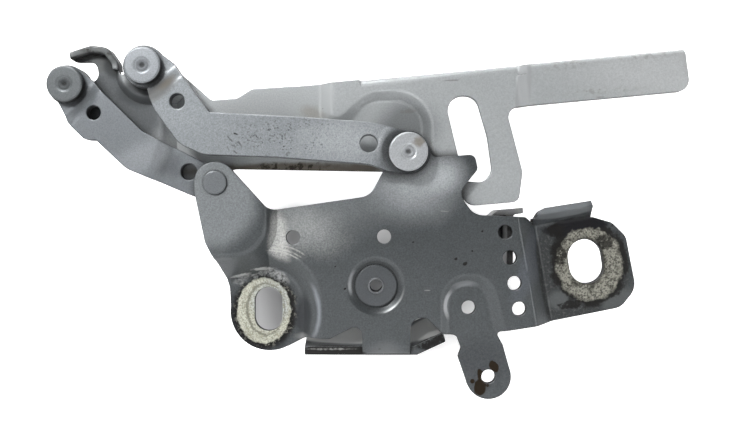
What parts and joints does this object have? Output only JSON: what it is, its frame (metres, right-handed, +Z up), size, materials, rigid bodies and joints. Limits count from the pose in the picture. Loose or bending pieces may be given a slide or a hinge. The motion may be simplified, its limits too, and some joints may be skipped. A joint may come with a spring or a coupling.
{
  "type": "bonnet hinge",
  "caption": "Four-bar bonnet hinge: a stamped body bracket and a stamped bonnet bracket joined by two cranked links on riveted pivots, shown closed.",
  "frame": {"origin": "centre of the rear body slot, on the face of the base bracket that bears on the vehicle body", "axes": "+X towards the front of the vehicle and the toe of the bonnet bracket, +Y into the vehicle body and along every pivot, +Z up"},
  "size_m": [0.289, 0.0398, 0.1597],
  "materials": {
    "base_coat": "satin dark grey coating",
    "bonnet_coat": "light grey satin coating",
    "front_link_steel": "grainy grey phosphate",
    "rear_link_steel": "grainy grey phosphate",
    "flat_head_steel": "matt grey",
    "large_head_steel": "matt grey",
    "dark_head_steel": "matt dark grey",
    "head_steel": "matt grey",
    "bush_bronze": "plain bearing bronze",
    "washer_steel": "plain",
    "nut_steel": "zinc plated",
    "stop_coat": "satin grey coating"
  },
  "bodies": {
    "base": {"base_bracket": "base_coat", "rear_base_rivet": "flat_head_steel", "front_base_rivet": "large_head_steel", "rear_base_washer": "washer_steel", "front_base_washer": "washer_steel", "clinch_nut": "nut_steel", "closing_stop": "stop_coat"},
    "rear_link": {"rear_link": "rear_link_steel", "rear_base_bush": "bush_bronze", "rear_bonnet_bush": "bush_bronze"},
    "front_link": {"front_link": "front_link_steel", "front_base_bush": "bush_bronze", "front_bonnet_bush": "bush_bronze", "front_bonnet_rivet": "head_steel", "front_bonnet_washer": "washer_steel"},
    "bonnet_bracket": {"bonnet_bracket": "bonnet_coat", "rear_bonnet_rivet": "dark_head_steel", "rear_bonnet_washer": "washer_steel"}
  },
  "joints": [
    {"name": "rear_base_pivot", "type": "hinge", "parent": "base", "child": "rear_link", "pos_m": [-0.022, -0.01, 0.0575], "axis": [0, 1, 0], "range_deg": [0, 50]},
    {"name": "rear_bonnet_pivot", "type": "hinge", "parent": "rear_link", "child": "bonnet_bracket", "pos_m": [-0.089, -0.01, 0.1015], "axis": [0, 1, 0], "range_deg": [-93.2, 0]},
    {"name": "front_base_pivot", "type": "hinge", "parent": "base", "child": "front_link", "pos_m": [0.0635, -0.0145, 0.071], "axis": [0, 1, 0], "range_deg": [0, 35.8]}
  ],
  "couplings": [
    {"joint": "rear_bonnet_pivot", "follows": "rear_base_pivot", "ratio": -1.8614},
    {"joint": "front_base_pivot", "follows": "rear_base_pivot", "ratio": 0.7146}
  ]
}
